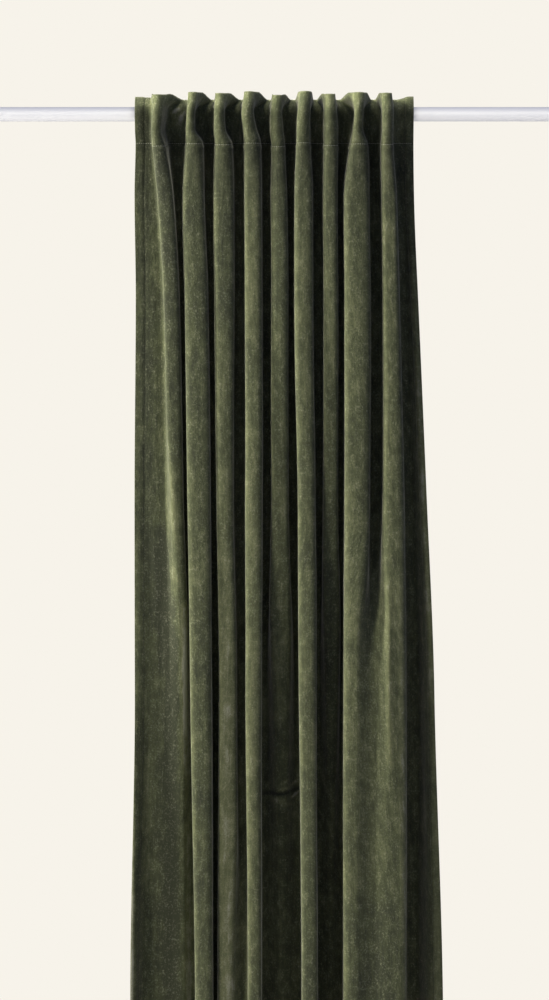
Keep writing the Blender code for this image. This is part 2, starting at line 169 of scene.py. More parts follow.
def foldsAt(drop):
    centre = np.array([atLevel(foldCentre[name], drop) for name in foldCentre])
    width = np.array([atLevel(foldWidth[name], drop) for name in foldCentre])
    reach = np.array([atLevel(foldReach[name], drop) for name in foldCentre])
    half = (width - curtain["thickness"]) / 2
    gapLeft = (centre + half)[:-1]
    gapRight = (centre - half)[1:]
    fade = ease(1 - drop / curtain["leanEnds"])
    down = ease(drop / curtain["leanSettles"])
    lean = np.array([top + (low - top) * down for top, low in valleyLean.values()])
    gapHalf = (gapRight - gapLeft) / 2
    widest = gapHalf - abs(lean * fade) + curtain["overhang"]
    floorHalf = np.minimum(atLevel(valleyFloor, drop) * gapHalf, widest)
    floorHalf = np.maximum(floorHalf, curtain["leastValley"])
    floorCentre = (gapLeft + gapRight) / 2 + lean * fade
    floorHalf[0] = min(floorHalf[0], curtain["flapTurn"])
    floorCentre[0] = gapRight[0] - curtain["flapTurn"]
    flat = (0,) * len(levels)
    floorReach = np.array([atLevel(valleyReach.get(name, flat), drop) for name in valleyLean])
    return (centre, half, reach), (floorCentre, floorHalf, floorReach)


def turnLine(x, y, half, rise, power, faces, side, most):
    # a turn that starts level at x and y. A full quarter turn would be half wide and rise high. A power
    # of 1 makes it round, a lower one flatter with a tighter edge
    turns = np.linspace(0, most, faces + 1)
    return [(x + side * half * math.sin(turn) ** power, y + rise * (1 - max(math.cos(turn), 0) ** power))
            for turn in turns]


def foldSide(crest, floor, side):
    # one half of a fold, from the middle of its front to the middle of the valley floor on that side.
    # crest and floor are (x, y, half, rise, power). Where the side leans out, both turns stop at its slope.
    # A shallow side is one soft slope instead.
    crestEnd = floorEnd = math.pi / 2
    for _ in range(3):
        start = turnLine(*crest, 1, side, crestEnd)[-1]
        end = turnLine(*floor, 1, -side, floorEnd)[-1]
        out, deep = max(side * (end[0] - start[0]), 0.0), max(end[1] - start[1], 1e-6)
        crestEnd = math.atan((deep * crest[2] / max(out * crest[3], 1e-9)) ** (1 / (2 - crest[4])))
        floorEnd = math.atan((deep * floor[2] / max(out * -floor[3], 1e-9)) ** (1 / (2 - floor[4])))
    front = turnLine(*crest, curtain["frontFaces"], side, crestEnd)
    back = turnLine(*floor, curtain["floorFaces"], -side, floorEnd)[::-1]
    steps = np.linspace(0, 1, curtain["wallFaces"] + 1)[1:-1]
    sway = [ease(t) if end[0] == start[0] or out == 0 else t for t in steps]
    wall = [(front[-1][0] + s * (back[0][0] - front[-1][0]), front[-1][1] + t * (back[0][1] - front[-1][1]))
            for s, t in zip(sway, steps)]
    line = np.array(front + wall + back)
    run, deep = side * (floor[0] - crest[0]), floor[1] - crest[1]
    steps = np.linspace(0, 1, len(line))
    soft = np.stack([crest[0] + side * run * steps, crest[1] + deep * ease(steps)], axis=1)
    firm = ease((deep / run - curtain["softUnder"]) / curtain["firmAfter"])
    return [tuple(point) for point in firm * line + (1 - firm) * soft]


def sideEdge(x, y, half, valleyX, valleyY, side):
    # a flat strip at the curtain's side, and the soft slope from it to the nearest valley
    faces = curtain["frontFaces"]
    strip = [(x + side * half * share, y) for share in np.linspace(1, 0, faces + 1)]
    steps = np.linspace(0, 1, faces + curtain["floorFaces"] + curtain["wallFaces"] + 1)[1:]
    run = min(curtain["edgeSlope"][side], abs(valleyX - x)) / abs(valleyX - x)
    slope = [(x + t * (valleyX - x), y + ease(t / run) * (valleyY - y)) for t in steps]
    line = strip + slope
    return line if side < 0 else line[::-1]


def section(drop, depth):
    # the cloth seen from above at one level: x, y, and how far each point's fold hangs down
    (centre, half, reach), (floorCentre, floorHalf, floorReach) = foldsAt(drop)
    front, back = -depth * reach, -depth * floorReach
    last = len(centre) - 1
    roundness = curtain["roundness"]
    power = 1 + (curtain["frontPower"] - 1) * ease((drop - curtain["leanSettles"]) / curtain["leanEnds"])
    line = sideEdge(centre[0], front[0], half[0], floorCentre[0], back[0], -1)
    fold = [0] * len(line)
    for i in range(1, last):
        leftDeep, rightDeep = back[i - 1] - front[i], back[i] - front[i]
        sides = []
        for side, deep, f in ((-1, leftDeep, i - 1), (1, rightDeep, i)):
            crest = (centre[i], front[i], half[i],
                     min(roundness * half[i], curtain["frontShare"] * deep, curtain["mostRise"]), power)
            floor = (floorCentre[f], back[f], floorHalf[f],
                     -min(roundness * floorHalf[f], curtain["floorShare"] * deep), 1.0)
            sides.append(foldSide(crest, floor, side))
        piece = sides[0][::-1][1:] + sides[1][1:]
        line += piece
        fold += [i] * len(piece)
    piece = sideEdge(centre[last], front[last], half[last], floorCentre[-1], back[-1], 1)[1:]
    line += piece
    fold += [last] * len(piece)
    x, y = np.array(line).T
    sag = np.array(list(foldDrop.values()))[fold]
    return x, y, sag * ease(-y / depth)


def aroundRod(drop):
    # how far back and up the rod and its tabs move a valley's cloth
    above = rodLevel - drop
    angle = curtain["bendBack"] if above > 0 else curtain["tuckUnder"]
    away = min(abs(above), curtain["seamBelowRod"])
    bend = min(away / valleyRadius, angle)
    rest = max(away - valleyRadius * angle, 0.0)
    back = valleyRadius * (1 - math.cos(bend)) + rest * math.sin(bend)
    lost = away - valleyRadius * math.sin(bend) - rest * math.cos(bend)
    return back, -lost if above > 0 else lost


def depthAt(drop):
    # cloth doesn't stretch, so the folds are as deep as the cut width asks
    back = aroundRod(drop)[0]
    over, tucked = (back, 0.0) if drop < rodLevel else (0.0, back)
    least, most = curtain["leastDepth"], curtain["mostDepth"]
    for _ in range(24):
        depth = (least + most) / 2
        x, y, _sag = section(drop, depth)
        y = y + tucked * (1 - ease(-y / curtain["uprightFrom"]))
        length = np.hypot(np.diff(x), np.diff(y)).sum()
        least, most = (depth, most) if length < curtain["width"] else (least, depth)
    return depth - curtain["frontFollows"] * over


def hungRow(drop):
    x, y, sag = section(drop, depthAt(drop))
    back, up = aroundRod(drop)
    bent = 1 - ease(-y / curtain["uprightFrom"])
    return np.stack([x, y - valleyRadius + bent * back, rodLevel - drop - sag + bent * up], axis=1)


def spaced(*stretches):
    # row positions: each stretch goes on to its end in even steps
    rows = [0.0]
    for end, step in stretches:
        count = max(1, round((end - rows[-1]) / step))
        rows += list(np.linspace(rows[-1], end, count + 1)[1:])
    return np.array(rows)


# Small uneven forms that the hand leaves in the cloth. Each runs from one place to another, given as
# (x, drop) from the front, and stands out or sinks in by height.
creases = {
    "centre wrinkle": {"from": (-24, 1368), "to": (47, 1359), "half": 3.0, "height": -4.5},
    "centre wrinkle's lip": {"from": (14, 1374), "to": (47, 1366), "half": 3.0, "height": 3.0},
    "centre wrinkle's brow": {"from": (12, 1349), "to": (44, 1344), "half": 5.0, "height": 2.0},
    "centre wrinkle's end": {"from": (34, 1374), "to": (46, 1362), "half": 2.2, "height": 2.5},
    "left panel, upper dent": {"from": (-196, 700), "to": (-190, 800), "half": 8.0, "height": 1.6},
    "left panel, lower dent": {"from": (-186, 900), "to": (-184, 960), "half": 7.0, "height": 1.6},
    "left panel, streak": {"from": (-219, 1220), "to": (-218, 1320), "half": 6.0, "height": 1.2},
    "left panel, nick": {"from": (-174, 1082), "to": (-168, 1088), "half": 3.0, "height": -1.0},
    "fold 9 ridge": {"from": (219, 850), "to": (222, 1330), "half": 5.5, "height": 2.6},
    "fold 9 lower ridge": {"from": (248, 1400), "to": (246, 1800), "half": 8.0, "height": 1.5},
    "fold 6 nick": {"from": (55, 1580), "to": (68, 1583), "half": 2.5, "height": -0.8},
    "heading crease 1": {"from": (-201, 42), "to": (-185, 30), "half": 2.8, "height": 2.4},
    "heading crease 2": {"from": (-182, 54), "to": (-173, 38), "half": 2.4, "height": 2.8},
    "heading crease 3": {"from": (-222, 72), "to": (-200, 90), "half": 2.8, "height": 2.0},
    "heading crease 4": {"from": (-155, 64), "to": (-141, 91), "half": 2.6, "height": 1.6},
    "heading crease 5": {"from": (-86, 60), "to": (-82, 92), "half": 2.4, "height": 1.0},
    "heading crease 6": {"from": (-27, 66), "to": (-20, 94), "half": 2.4, "height": 1.2},
}
markFade = {"least": 0.35, "level": 0.08}    # a mark weakens towards its ends, and is level near them
ripples = [    # slow waves across and down the cloth, in mm
    {"across": 55.0, "down": 620.0, "height": 1.3},
    {"across": 22.0, "down": 260.0, "height": 0.7},
    {"across": 9.0, "down": 110.0, "height": 0.25},
]
rippleShift = 7.3    # keeps their patterns apart
rippleStart = {"least": 0.35, "from": 60.0, "over": 160.0}    # they are weaker on the heading


def waves(across, drop):
    # uneven drag lines that run down the cloth
    lift = np.zeros_like(across)
    for number, ripple in enumerate(ripples):
        wide, long, shift = ripple["across"], ripple["down"], rippleShift * number
        for index in np.ndindex(across.shape):
            place = Vector((across[index] / wide, drop[index] / long, shift))
            lift[index] += ripple["height"] * noise.noise(place)
    return lift


# Painted light and shade on the velvet's colour, with some brushed nap: painted highlights and glints on lit
# ridges and edges, and painted shade in recesses, grooves and the wrinkle. Each is placed as the creases are.
# A push over 0 shows lighter, one under 0 darker
napAndLightMarks = {
    "heading, between folds 1 and 2": {"from": (-190, 34), "to": (-184, 88), "half": 15, "push": 0.16},
    "heading, upper glint": {"from": (-200, 41), "to": (-185, 31), "half": 3, "push": 0.25},
    "heading, middle glint": {"from": (-182, 53), "to": (-174, 39), "half": 3, "push": 0.35},
    "heading, lower glint": {"from": (-221, 73), "to": (-201, 89), "half": 3, "push": 0.12},
    "heading, fold 2 glint": {"from": (-153, 66), "to": (-143, 90), "half": 3, "push": 0.12},
    "left flap, shaded": {"from": (-254, 44), "to": (-253, 98), "half": 13, "push": -0.24},
    "fold 1, shaded top": {"from": (-222, 100), "to": (-206, 320), "half": 14, "push": -0.12},
    "fold 1, shaded middle": {"from": (-205, 300), "to": (-196, 700), "half": 15, "push": -0.07},
    "fold 1, light streak": {"from": (-200, 745), "to": (-197, 845), "half": 7, "push": 0.14},
    "fold 1, light patch": {"from": (-198, 900), "to": (-195, 965), "half": 8, "push": 0.13},
    "fold 1, shaded slope": {"from": (-220, 860), "to": (-210, 1100), "half": 13, "push": -0.32},
    "left panel, shaded middle": {"from": (-200, 1060), "to": (-196, 2600), "half": 15, "push": -0.17},
    "left panel, beside fold 2": {"from": (-174, 1000), "to": (-169, 1320), "half": 9, "push": 0.36},
    "left panel, beside fold 2, lower": {"from": (-169, 1320), "to": (-163, 2450), "half": 8, "push": 0.24},
    "left panel, light strip": {"from": (-249, 1300), "to": (-247, 1560), "half": 8, "push": 0.12},
    "left panel, streak": {"from": (-219, 1235), "to": (-217, 1292), "half": 5, "push": 0.09},
    "left panel, upper": {"from": (-252, 96), "to": (-248, 1020), "half": 17, "push": -0.11},
    "left panel, lower": {"from": (-222, 900), "to": (-224, 2450), "half": 42, "push": -0.06},
    "fold 2, shaded top": {"from": (-156, 100), "to": (-149, 700), "half": 18, "push": -0.04},
    "fold 2, shaded end": {"from": (-142, 1000), "to": (-136, 2550), "half": 16, "push": -0.045},
    "fold 3, shaded top": {"from": (-98, 100), "to": (-98, 450), "half": 15, "push": -0.055},
    "fold 3, light middle": {"from": (-99, 520), "to": (-97, 690), "half": 10, "push": 0.03},
    "fold 3, light patch": {"from": (-98, 745), "to": (-94, 900), "half": 13, "push": 0.07},
    "fold 3, light end": {"from": (-92, 900), "to": (-88, 2650), "half": 16, "push": 0.16},
    "fold 4, shaded neck": {"from": (-44, 100), "to": (-43, 150), "half": 12, "push": -0.08},
    "fold 4, light top": {"from": (-44, 210), "to": (-42, 520), "half": 12, "push": 0.075},
    "fold 4, light middle": {"from": (-42, 660), "to": (-41, 910), "half": 10, "push": 0.02},
    "fold 4, light edge": {"from": (-46, 560), "to": (-45, 1900), "half": 10, "push": 0.07},
    "fold 5, shaded top": {"from": (9, 150), "to": (9, 360), "half": 13, "push": -0.02},
    "fold 5, light middle": {"from": (8, 410), "to": (10, 540), "half": 9, "push": 0.03},
    "fold 5, light patch": {"from": (17, 750), "to": (21, 880), "half": 10, "push": 0.07},
    "fold 5, brushed": {"from": (10, 960), "to": (14, 1230), "half": 17, "push": 0.05},
    "above the wrinkle, 1": {"from": (17, 1344), "to": (27, 1338), "half": 4, "push": 0.20},
    "above the wrinkle, 2": {"from": (30, 1350), "to": (45, 1343), "half": 3.5, "push": 0.26},
    "above the wrinkle, 3": {"from": (12, 1356), "to": (24, 1353), "half": 3, "push": 0.16},
    "above the wrinkle, 4": {"from": (-14, 1352), "to": (-8, 1344), "half": 4, "push": 0.12},
    "the wrinkle's dark line": {"from": (-24, 1368), "to": (46, 1359), "half": 3, "push": -0.3},
    "the wrinkle's bright end": {"from": (33, 1374), "to": (46, 1365), "half": 2.2, "push": 0.6},
    "below the wrinkle, 1": {"from": (-4, 1376), "to": (14, 1379), "half": 4, "push": 0.18},
    "below the wrinkle, 2": {"from": (20, 1384), "to": (36, 1388), "half": 4, "push": 0.16},
    "below the wrinkle, 3": {"from": (30, 1402), "to": (44, 1414), "half": 6, "push": 0.10},
    "fold 1, shaded below the patch": {"from": (-192, 1010), "to": (-196, 1300), "half": 12, "push": -0.05},
    "fold 4, shaded end": {"from": (-40, 1600), "to": (-38, 2550), "half": 14, "push": -0.06},
    "fold 6, shaded end": {"from": (68, 1500), "to": (69, 2550), "half": 16, "push": -0.065},
    "left edge, light": {"from": (-275, 1180), "to": (-277, 2450), "half": 3.5, "push": 0.3},
    "left edge, groove": {"from": (-267, 1180), "to": (-266, 2450), "half": 5, "push": -0.10},
    "fold 6, light edge": {"from": (50, 150), "to": (50, 430), "half": 8, "push": 0.03},
    "fold 6, light middle": {"from": (57, 480), "to": (60, 660), "half": 12, "push": 0.05},
    "fold 7, light patch": {"from": (108, 300), "to": (109, 620), "half": 10, "push": 0.05},
    "fold 7, shaded end": {"from": (109, 720), "to": (110, 1400), "half": 20, "push": -0.04},
    "fold 8, light patch": {"from": (155, 390), "to": (162, 560), "half": 18, "push": 0.05},
    "fold 8, light end": {"from": (158, 760), "to": (157, 1500), "half": 16, "push": 0.04},
    "fold 9, light top": {"from": (218, 100), "to": (219, 190), "half": 10, "push": 0.09},
    "fold 8, lower patch": {"from": (146, 1015), "to": (162, 1048), "half": 15, "push": 0.06},
    "fold 9, light edge": {"from": (215, 260), "to": (222, 900), "half": 9, "push": 0.05},
    "fold 9, ridge": {"from": (219, 860), "to": (222, 1340), "half": 5, "push": 0.10},
    "right panel, lower": {"from": (212, 1560), "to": (210, 2650), "half": 40, "push": -0.13},
    "fold 8, shaded end": {"from": (156, 1560), "to": (158, 2550), "half": 22, "push": -0.05},
    "right panel, lit edge": {"from": (244, 860), "to": (250, 2000), "half": 6, "push": 0.12},
    "right edge, light": {"from": (271, 330), "to": (310, 1370), "half": 6, "push": 0.14},
    "right edge, light end": {"from": (310, 1370), "to": (320, 2450), "half": 7, "push": 0.08},
}


def marksAt(marks, kind, x, drop):
    # how strongly these marks act at each place on the front
    total = np.zeros_like(x)
    for mark in marks.values():
        start, end = np.array(mark["from"], float), np.array(mark["to"], float)
        run = end - start
        t = np.clip(((x - start[0]) * run[0] + (drop - start[1]) * run[1]) / (run @ run), 0, 1)
        away = np.hypot(x - start[0] - t * run[0], drop - start[1] - t * run[1])
        inner = np.clip(t, markFade["level"], 1 - markFade["level"])
        fade = markFade["least"] + (1 - markFade["least"]) * np.sin(math.pi * inner)
        total += mark[kind] * fade * np.exp(-(away / mark["half"]) ** 2)
    return total


def normals(points):
    out = np.cross(np.gradient(points, axis=0), np.gradient(points, axis=1))
    return out / np.linalg.norm(out, axis=2, keepdims=True)


def drape(rows):
    # the cloth's middle surface, the way it faces, and where each point lies on the flat cloth
    points = np.array([hungRow(drop) for drop in rows])
    steps = np.linalg.norm(np.diff(points, axis=1), axis=2)
    across = np.concatenate([np.zeros((len(rows), 1)), np.cumsum(steps, axis=1)], axis=1)
    across *= curtain["width"] / across[:, -1:]
    down = np.repeat(rows[:, None], points.shape[1], axis=1)
    out = normals(points)
    facing = np.clip(-out[:, :, 1], 0, 1)
    settle = ease((down - rippleStart["from"]) / rippleStart["over"])[:, :, None]
    strength = rippleStart["least"] + (1 - rippleStart["least"]) * settle
    lift = waves(across, down)[:, :, None] * strength
    pressed = marksAt(creases, "height", points[:, :, 0], down) * facing
    points = points + out * (lift + pressed[:, :, None])
    return points, normals(points), across, down


def laidGrid(points, across, down, napAndPaintedLight=None):
    # a flat grid of the cut cloth, moved to where it hangs, with its flat place kept as UV
    rows, columns = points.shape[:2]
    mesh = bmesh.new()
    uv = mesh.loops.layers.uv.new("cloth")
    # each corner also carries the painted light and shade marks
    brushedNapAndLight = mesh.verts.layers.float.new("napAndPaintedLight")
    flat = bmesh.ops.create_grid(mesh, x_segments=columns - 1, y_segments=rows - 1, size=0.5)["verts"]
    order = sorted(flat, key=lambda vert: (-round(vert.co.y, 6), round(vert.co.x, 6)))
    place = {}
    for index, vert in enumerate(order):
        r, c = divmod(index, columns)
        place[vert] = (r, c)
        vert.co = points[r, c] * mm
        vert[brushedNapAndLight] = 0.0 if napAndPaintedLight is None else napAndPaintedLight[r, c]
    for face in mesh.faces:
        for loop in face.loops:
            r, c = place[loop.vert]
            loop[uv].uv = (across[r, c] * mm, (curtain["length"] - down[r, c]) * mm)
    return mesh, place


def thicken(mesh, place, behind, backSlot):
    # a second layer behind the first, joined to it all round
    faces = list(mesh.faces)
    border = [edge for edge in mesh.edges if edge.is_boundary]
    copied = bmesh.ops.duplicate(mesh, geom=mesh.verts[:] + mesh.edges[:] + faces)
    twin = {old: new for old, new in copied["vert_map"].items() if old in place}
    for old, new in twin.items():
        new.co = behind[place[old]] * mm
    backFaces = [item for item in copied["geom"] if isinstance(item, bmesh.types.BMFace)]
    bmesh.ops.reverse_faces(mesh, faces=backFaces)
    backEdges = [item for item in copied["geom"] if isinstance(item, bmesh.types.BMEdge)]
    backBorder = [edge for edge in backEdges if edge.is_boundary]
    bmesh.ops.bridge_loops(mesh, edges=border + backBorder)
    for face in backFaces:
        face.material_index = backSlot(face)
    for face in mesh.faces:
        face.smooth = True
    bmesh.ops.recalc_face_normals(mesh, faces=mesh.faces)
    return mesh


def addPiece(name, mesh, materials, nodes=()):
    data = bpy.data.meshes.new(name)
    mesh.to_mesh(data)
    mesh.free()
    for material in materials:
        data.materials.append(material)
    piece = bpy.data.objects.new(name, data)
    scene.collection.objects.link(piece)
    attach(piece, "root")
    if nodes:
        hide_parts(*nodes)
    print(name, len(data.polygons), "faces")
    return piece


# Materials
velvet = {
    "dark": (0.0215, 0.0245, 0.0110), "mid": (0.037, 0.0425, 0.0168), "light": (0.075, 0.080, 0.0345),
    # bright is the colour that the painted highlights among the marks reach
    "bright": (0.17, 0.17, 0.115), "fleck": (0.18, 0.18, 0.115),
    "tones": {"dark": 0.38, "mid": 0.49, "light": 0.62, "bright": 0.76},    # the noise at each colour
    "brushingShare": 0.50, "streakShare": 0.22, "grainShare": 0.22,    # of that noise
    "fleckBrushing": 0.3, "fleckStart": 0.52, "fleckFull": 0.78,
    "roughness": 0.9, "specular": 0.2,
    "sheen": 0.34, "sheenRoughness": 0.42, "sheenTint": (0.80, 0.78, 0.58),
    # each noise's patches in mm across and down the cloth, its detail and its roughness
    "blotches": (42, 85, 3.0, 0.55), "brushing": (12, 24, 4.0, 0.68), "streaks": (4, 70, 2.0, 0.55),
    "marks": (3.5, 4.5, 4.0, 0.75), "pile": (1.4, 2.0, 2.0, 0.55), "grain": (2.6, 3.4, 2.0, 0.8),
    # painted light and shade down the heading, as (drop in mm, brightness), and how far that line wanders:
    # lighter where the top edge bends back over the rod, darker below the seam
    "brushedNapAndLight": ((0, 1.9), (18, 1.6), (34, 1.15), (48, 1.1), (96, 1.0), (104, 0.8), (150, 0.8), (240, 1.0)),
    "headingLightDepth": 260.0, "brightest": 4.0, "wander": 35.0,
    "hemLineHalf": 1.1, "hemLineShade": 0.70,
    "hemRelief": 1.2, "brushedRelief": 2.0, "brushedStrength": 0.8, "pileRelief": 0.35, "pileStrength": 0.5,
}
wovenCloth = {"dark": (0.024, 0.030, 0.015), "light": (0.050, 0.058, 0.032), "roughness": 0.85,
              "weave": 0.8, "relief": 0.2, "reliefStrength": 0.6}
webbingCloth = {"dark": (0.050, 0.055, 0.036), "light": (0.13, 0.14, 0.095), "roughness": 0.8,
                "weave": 1.2, "relief": 0.25, "reliefStrength": 0.7}
paint = {"colour": (0.64, 0.65, 0.65), "roughness": 0.35, "coat": 0.3, "coatRoughness": 0.25}
sewingThread = {"colour": (0.24, 0.24, 0.17), "roughness": 0.6}


def startMaterial(name, roughness, colour=None):
    material = bpy.data.materials.new(name)
    material.use_nodes = True
    shader = material.node_tree.nodes["Principled BSDF"]
    shader.inputs["Roughness"].default_value = roughness
    if colour:
        shader.inputs["Base Color"].default_value = (*colour, 1)
    return material, material.node_tree, shader


def clothNoise(tree, across, down, detail, roughness=0.55):
    # noise on the flat cloth whose patches are this many mm wide and long
    nodes, links = tree.nodes, tree.links
    uv = nodes.new("ShaderNodeUVMap")
    uv.uv_map = "cloth"
    mapping = nodes.new("ShaderNodeMapping")
    mapping.inputs["Scale"].default_value = (1000 / across, 1000 / down, 1)
    pattern = nodes.new("ShaderNodeTexNoise")
    pattern.inputs["Scale"].default_value = 1.0
    pattern.inputs["Detail"].default_value = detail
    pattern.inputs["Roughness"].default_value = roughness
    links.new(uv.outputs["UV"], mapping.inputs["Vector"])
    links.new(mapping.outputs["Vector"], pattern.inputs["Vector"])
    return pattern.outputs["Fac"]


def blend(tree, first, second, share):
    mix = tree.nodes.new("ShaderNodeMix")
    mix.data_type = "FLOAT"
    mix.inputs["Factor"].default_value = share
    tree.links.new(first, mix.inputs["A"])
    tree.links.new(second, mix.inputs["B"])
    return mix.outputs["Result"]


def ramp(tree, value, stops):
    colours = tree.nodes.new("ShaderNodeValToRGB")
    elements = colours.color_ramp.elements
    while len(elements) < len(stops):
        elements.new(0.5)
    for element, (position, colour) in zip(elements, stops):
        element.position = position
        element.color = (*colour, 1.0)
    tree.links.new(value, colours.inputs["Fac"])
    return colours.outputs["Color"]


def mixColour(tree, first, second, share):
    mix = tree.nodes.new("ShaderNodeMix")
    mix.data_type = "RGBA"
    mix.inputs["B"].default_value = (*second, 1)
    tree.links.new(share, mix.inputs["Factor"])
    tree.links.new(first, mix.inputs["A"])
    return mix.outputs["Result"]


def bump(tree, height, distance, strength=1.0, after=None):
    made = tree.nodes.new("ShaderNodeBump")
    made.inputs["Distance"].default_value = distance * mm
    made.inputs["Strength"].default_value = strength
    tree.links.new(height, made.inputs["Height"])
    if after:
        tree.links.new(after, made.inputs["Normal"])
    return made.outputs["Normal"]


def product(tree, first, second):
    multiply = tree.nodes.new("ShaderNodeMath")
    multiply.operation = "MULTIPLY"
    tree.links.new(first, multiply.inputs[0])
    tree.links.new(second, multiply.inputs[1])
    return multiply.outputs["Value"]


def flatPlace(tree):
    # across and up the flat cloth, in metres
    uv = tree.nodes.new("ShaderNodeUVMap")
    uv.uv_map = "cloth"
    split = tree.nodes.new("ShaderNodeSeparateXYZ")
    tree.links.new(uv.outputs["UV"], split.inputs["Vector"])
    return split.outputs["X"], split.outputs["Y"]


def paintedHeadingLight(tree, wander):
    # painted light and shade on the heading: lighter bands where the cloth bends back over the rod, darker
    # below the seam, with a wandering edge
    up = flatPlace(tree)[1]
    length, deep = curtain["length"] * mm, velvet["headingLightDepth"] * mm
    place = tree.nodes.new("ShaderNodeMapRange")
    place.inputs["From Min"].default_value = length
    place.inputs["From Max"].default_value = length - deep
    moved = tree.nodes.new("ShaderNodeMath")
    moved.operation = "MULTIPLY_ADD"
    moved.inputs[1].default_value = velvet["wander"] * mm
    tree.links.new(wander, moved.inputs[0])
    tree.links.new(up, moved.inputs[2])
    shifted = tree.nodes.new("ShaderNodeMath")
    shifted.operation = "SUBTRACT"
    shifted.inputs[1].default_value = velvet["wander"] / 2 * mm
    tree.links.new(moved.outputs["Value"], shifted.inputs[0])
    tree.links.new(shifted.outputs["Value"], place.inputs["Value"])
    # a ramp holds no value over 1, so the brightness is divided first and multiplied back after it
    stops = [(drop * mm / deep, (level / velvet["brightest"],) * 3) for drop, level in velvet["brushedNapAndLight"]]
    band = ramp(tree, place.outputs["Result"], stops)
    full = tree.nodes.new("ShaderNodeMath")
    full.operation = "MULTIPLY"
    full.inputs[1].default_value = velvet["brightest"]
    tree.links.new(band, full.inputs[0])
    return full.outputs["Value"]


def hemLines(tree):
    # the pressed lines where the side hems are sewn
    across = flatPlace(tree)[0]
    lines = None
    for place in (curtain["sideHem"], curtain["width"] - curtain["sideHem"]):
        away = tree.nodes.new("ShaderNodeMath")
        away.operation = "COMPARE"
        away.inputs[1].default_value = place * mm
        away.inputs[2].default_value = velvet["hemLineHalf"] * mm
        tree.links.new(across, away.inputs[0])
        dim = tree.nodes.new("ShaderNodeMapRange")
        dim.inputs["To Min"].default_value = 1.0
        dim.inputs["To Max"].default_value = velvet["hemLineShade"]
        tree.links.new(away.outputs["Value"], dim.inputs["Value"])
        lines = product(tree, lines, dim.outputs["Result"]) if lines else dim.outputs["Result"]
    return lines


def makeVelvet():
    material, tree, shader = startMaterial("moss_velvet", velvet["roughness"])
    names = ("blotches", "brushing", "streaks", "marks", "pile", "grain")
    blotches, brushing, streaks, marks, pile, grain = (clothNoise(tree, *velvet[name]) for name in names)
    tone = blend(tree, blotches, brushing, velvet["brushingShare"])
    tone = blend(tree, tone, streaks, velvet["streakShare"])
    tone = blend(tree, tone, grain, velvet["grainShare"])
    # the marks' painted light and shade, with some brushed nap, push the tone lighter or darker
    brushedNapAndLight = tree.nodes.new("ShaderNodeAttribute")
    brushedNapAndLight.attribute_name = "napAndPaintedLight"
    pushed = tree.nodes.new("ShaderNodeMath")
    tree.links.new(tone, pushed.inputs[0])
    tree.links.new(brushedNapAndLight.outputs["Fac"], pushed.inputs[1])
    colour = ramp(tree, pushed.outputs["Value"], [(at, velvet[name]) for name, at in velvet["tones"].items()])
    flecks = ramp(tree, blend(tree, marks, brushing, velvet["fleckBrushing"]),
                  [(velvet["fleckStart"], (0, 0, 0)), (velvet["fleckFull"], (1, 1, 1))])
    hems = hemLines(tree)
    # the heading's painted light and shade, times the darker hem lines
    shade = product(tree, paintedHeadingLight(tree, brushing), hems)
    lit = tree.nodes.new("ShaderNodeVectorMath")
    lit.operation = "SCALE"
    tree.links.new(mixColour(tree, colour, velvet["fleck"], flecks), lit.inputs[0])
    tree.links.new(shade, lit.inputs["Scale"])
    tree.links.new(lit.outputs["Vector"], shader.inputs["Base Color"])
    pressed = bump(tree, hems, velvet["hemRelief"])
    combed = bump(tree, brushing, velvet["brushedRelief"], velvet["brushedStrength"], pressed)
    piled = bump(tree, pile, velvet["pileRelief"], velvet["pileStrength"], combed)
    tree.links.new(piled, shader.inputs["Normal"])
    shader.inputs["Sheen Weight"].default_value = velvet["sheen"]
    shader.inputs["Sheen Roughness"].default_value = velvet["sheenRoughness"]
    shader.inputs["Sheen Tint"].default_value = (*velvet["sheenTint"], 1)
    shader.inputs["Specular IOR Level"].default_value = velvet["specular"]
    return material


def makeWoven(name, look):
    # plain woven cloth, with its weave as noise between two colours
    material, tree, shader = startMaterial(name, look["roughness"])
    weave = clothNoise(tree, look["weave"], look["weave"], 1.0)
    colour = ramp(tree, weave, [(0.3, look["dark"]), (0.7, look["light"])])
    tree.links.new(colour, shader.inputs["Base Color"])
    tree.links.new(bump(tree, weave, look["relief"], look["reliefStrength"]), shader.inputs["Normal"])
    return material


def makeEnamel():
    material, _tree, shader = startMaterial("white_enamel", paint["roughness"], paint["colour"])
    shader.inputs["Coat Weight"].default_value = paint["coat"]
    shader.inputs["Coat Roughness"].default_value = paint["coatRoughness"]
    return material


velvetFace = makeVelvet()
wovenBack = makeWoven("woven_back", wovenCloth)
webbing = makeWoven("heading_webbing", webbingCloth)
enamel = makeEnamel()
thread = startMaterial("sewing_thread", sewingThread["roughness"], sewingThread["colour"])[0]
print("materials made")

# The panel. Its rows are given as (end, step) down the cloth, closest at the seam and at the wrinkle
rowSteps = ((90, 3), (100, 1.7), (112, 1.7), (140, 5), (300, 11), (1325, 19), (1420, 4), (1800, 19),
            (2420, 44), (2500, 20))
seam = {"pull": 0.5, "half": 2.4, "puff": 0.8, "puffBelow": 7.0, "puffHalf": 4.0, "sidePull": 0.7,
        "hemEdge": 2.0}
# how the painted light and shade marks fade where the cloth turns away from the front
paintedMarkFacing = 1.5    # marks are at full strength on cloth that faces forward by two thirds or more

